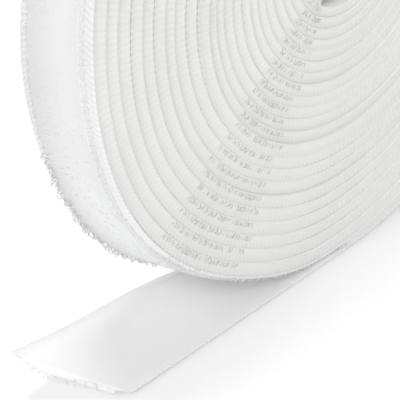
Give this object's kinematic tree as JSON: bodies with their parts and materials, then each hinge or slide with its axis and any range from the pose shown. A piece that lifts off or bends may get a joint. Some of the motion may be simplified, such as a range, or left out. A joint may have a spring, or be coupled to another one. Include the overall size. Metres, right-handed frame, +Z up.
{
  "type": "hook tape roll",
  "caption": "White woven hook tape wound flat on a small core, standing on edge with its free end run out; its back is sewn or glued on as one half of a hook and loop fastening.",
  "frame": {"origin": "on the floor, straight below the roll's axis, in the middle of the outer turn's width", "axes": "+Z up, +Y along the roll's axis away from the seen face, -X the way the free end runs out"},
  "size_m": [0.1597, 0.022, 0.1523],
  "materials": {
    "hook_tape": "woven nylon, smooth back, hooks on the outer side",
    "core_card": "plain unprinted white card tube"
  },
  "bodies": {
    "roll": {"core_tube": "core_card", "wound_tape": "hook_tape"},
    "tail_first": {"tail_1": "hook_tape"},
    "tail_second": {"tail_2": "hook_tape"},
    "tail_third": {"tail_3": "hook_tape"},
    "tail_end": {"tail_4": "hook_tape"}
  },
  "joints": [
    {"name": "tail_bend_1", "type": "hinge", "parent": "roll", "child": "tail_first", "pos_m": [-0.00823, 0, 0.0012], "axis": [0, 1, 0], "range_deg": [-40, 5]},
    {"name": "tail_bend_2", "type": "hinge", "parent": "tail_first", "child": "tail_second", "pos_m": [-0.02323, 0, 0.0012], "axis": [0, 1, 0], "range_deg": [-40, 5]},
    {"name": "tail_bend_3", "type": "hinge", "parent": "tail_second", "child": "tail_third", "pos_m": [-0.03823, 0, 0.0012], "axis": [0, 1, 0], "range_deg": [-40, 5]},
    {"name": "tail_bend_4", "type": "hinge", "parent": "tail_third", "child": "tail_end", "pos_m": [-0.05323, 0, 0.0012], "axis": [0, 1, 0], "range_deg": [-40, 5]}
  ]
}
